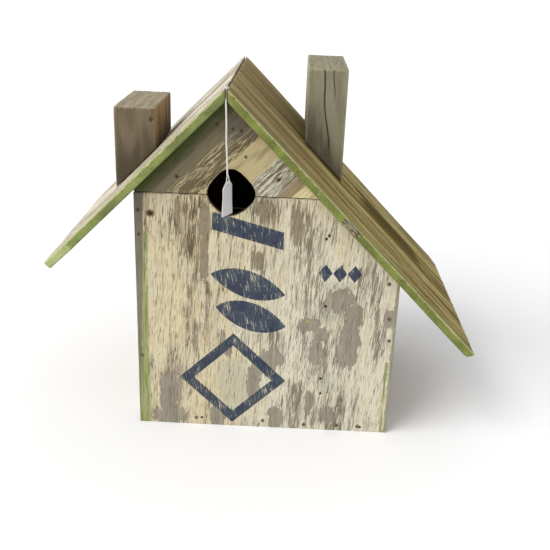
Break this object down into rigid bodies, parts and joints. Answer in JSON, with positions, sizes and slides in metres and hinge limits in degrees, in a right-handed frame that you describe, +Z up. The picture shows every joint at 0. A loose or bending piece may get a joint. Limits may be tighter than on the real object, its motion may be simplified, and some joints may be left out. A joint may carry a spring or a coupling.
{
  "type": "nesting box",
  "caption": "Wooden nesting box with a saltbox roof, two block chimneys, a round entrance, a hinged clean-out door behind and a tag on a string.",
  "frame": {"origin": "on the ground under the middle of the roof's plan", "axes": "+X along the front to the viewer's right, towards the longer slope; +Y from the front to the back; +Z up"},
  "size_m": [0.493, 0.3088, 0.414],
  "materials": {
    "front_paint": "worn cream paint over grey weathered wood, stencilled dark blue shapes",
    "gable_paint": "worn cream and brown paint over weathered wood",
    "wall_paint": "worn cream paint over grey weathered wood",
    "roof_left_paint": "pale worn paint, green painted edge",
    "roof_right_paint": "weathered brown wood with cream paint streaks, green painted edge",
    "bare_board": "plain sawn wood",
    "chimney_timber": "weathered grey brown timber",
    "turned_wood": "oiled wood",
    "rusty_steel": "rusted",
    "hinge_steel": "dull, a little rust",
    "cotton_string": "matt",
    "tag_card": "matt card"
  },
  "bodies": {
    "box": {"front_lower_board": "front_paint", "front_gable_board": "gable_paint", "left_side_wall": "wall_paint", "right_side_wall": "wall_paint", "floor_board": "bare_board", "back_bottom_board": "wall_paint", "back_left_board": "wall_paint", "back_right_board": "wall_paint", "back_upper_board": "wall_paint", "back_gable_board": "wall_paint", "back_batten_left": "bare_board", "back_batten_right": "bare_board", "back_joint_cleat": "bare_board", "front_cleat_left": "bare_board", "front_cleat_right": "bare_board", "roof_left_board": "roof_left_paint", "roof_right_board": "roof_right_paint", "chimney_left": "chimney_timber", "chimney_right": "chimney_timber", "front_board_nails": "rusty_steel", "gable_nails": "rusty_steel", "back_board_nails": "rusty_steel", "side_wall_nails": "rusty_steel", "roof_left_nails": "rusty_steel", "roof_right_nails": "rusty_steel", "cleat_screws": "hinge_steel", "chimney_screws": "hinge_steel", "frame_hinge_screws": "hinge_steel", "turn_button_washer": "hinge_steel", "turn_button_screw": "hinge_steel", "hinge_lower_frame_leaf": "hinge_steel", "hinge_lower_pin": "hinge_steel", "hinge_upper_frame_leaf": "hinge_steel", "hinge_upper_pin": "hinge_steel", "ridge_knot": "cotton_string"},
    "door": {"clean_out_door": "wall_paint", "door_knob": "turned_wood", "door_knob_screw": "hinge_steel", "door_hinge_screws": "hinge_steel", "hinge_lower_door_leaf": "hinge_steel", "hinge_upper_door_leaf": "hinge_steel"},
    "turn_button": {"turn_button": "turned_wood"},
    "tag": {"tag_string": "cotton_string", "tag_loop": "cotton_string", "hang_tag": "tag_card"}
  },
  "joints": [
    {"name": "door_hinge", "type": "hinge", "parent": "box", "child": "door", "pos_m": [-0.06775, 0.1326, 0.125], "axis": [0, 0, 1], "range_deg": [0, 165]},
    {"name": "turn_button_pivot", "type": "hinge", "parent": "box", "child": "turn_button", "pos_m": [0.0945, 0.1352, 0.125], "axis": [0, 1, 0], "continuous": true},
    {"name": "tag_swing", "type": "hinge", "parent": "box", "child": "tag", "pos_m": [-0.0415, -0.149, 0.3933], "axis": [0, 1, 0], "range_deg": [-30, 30]}
  ]
}
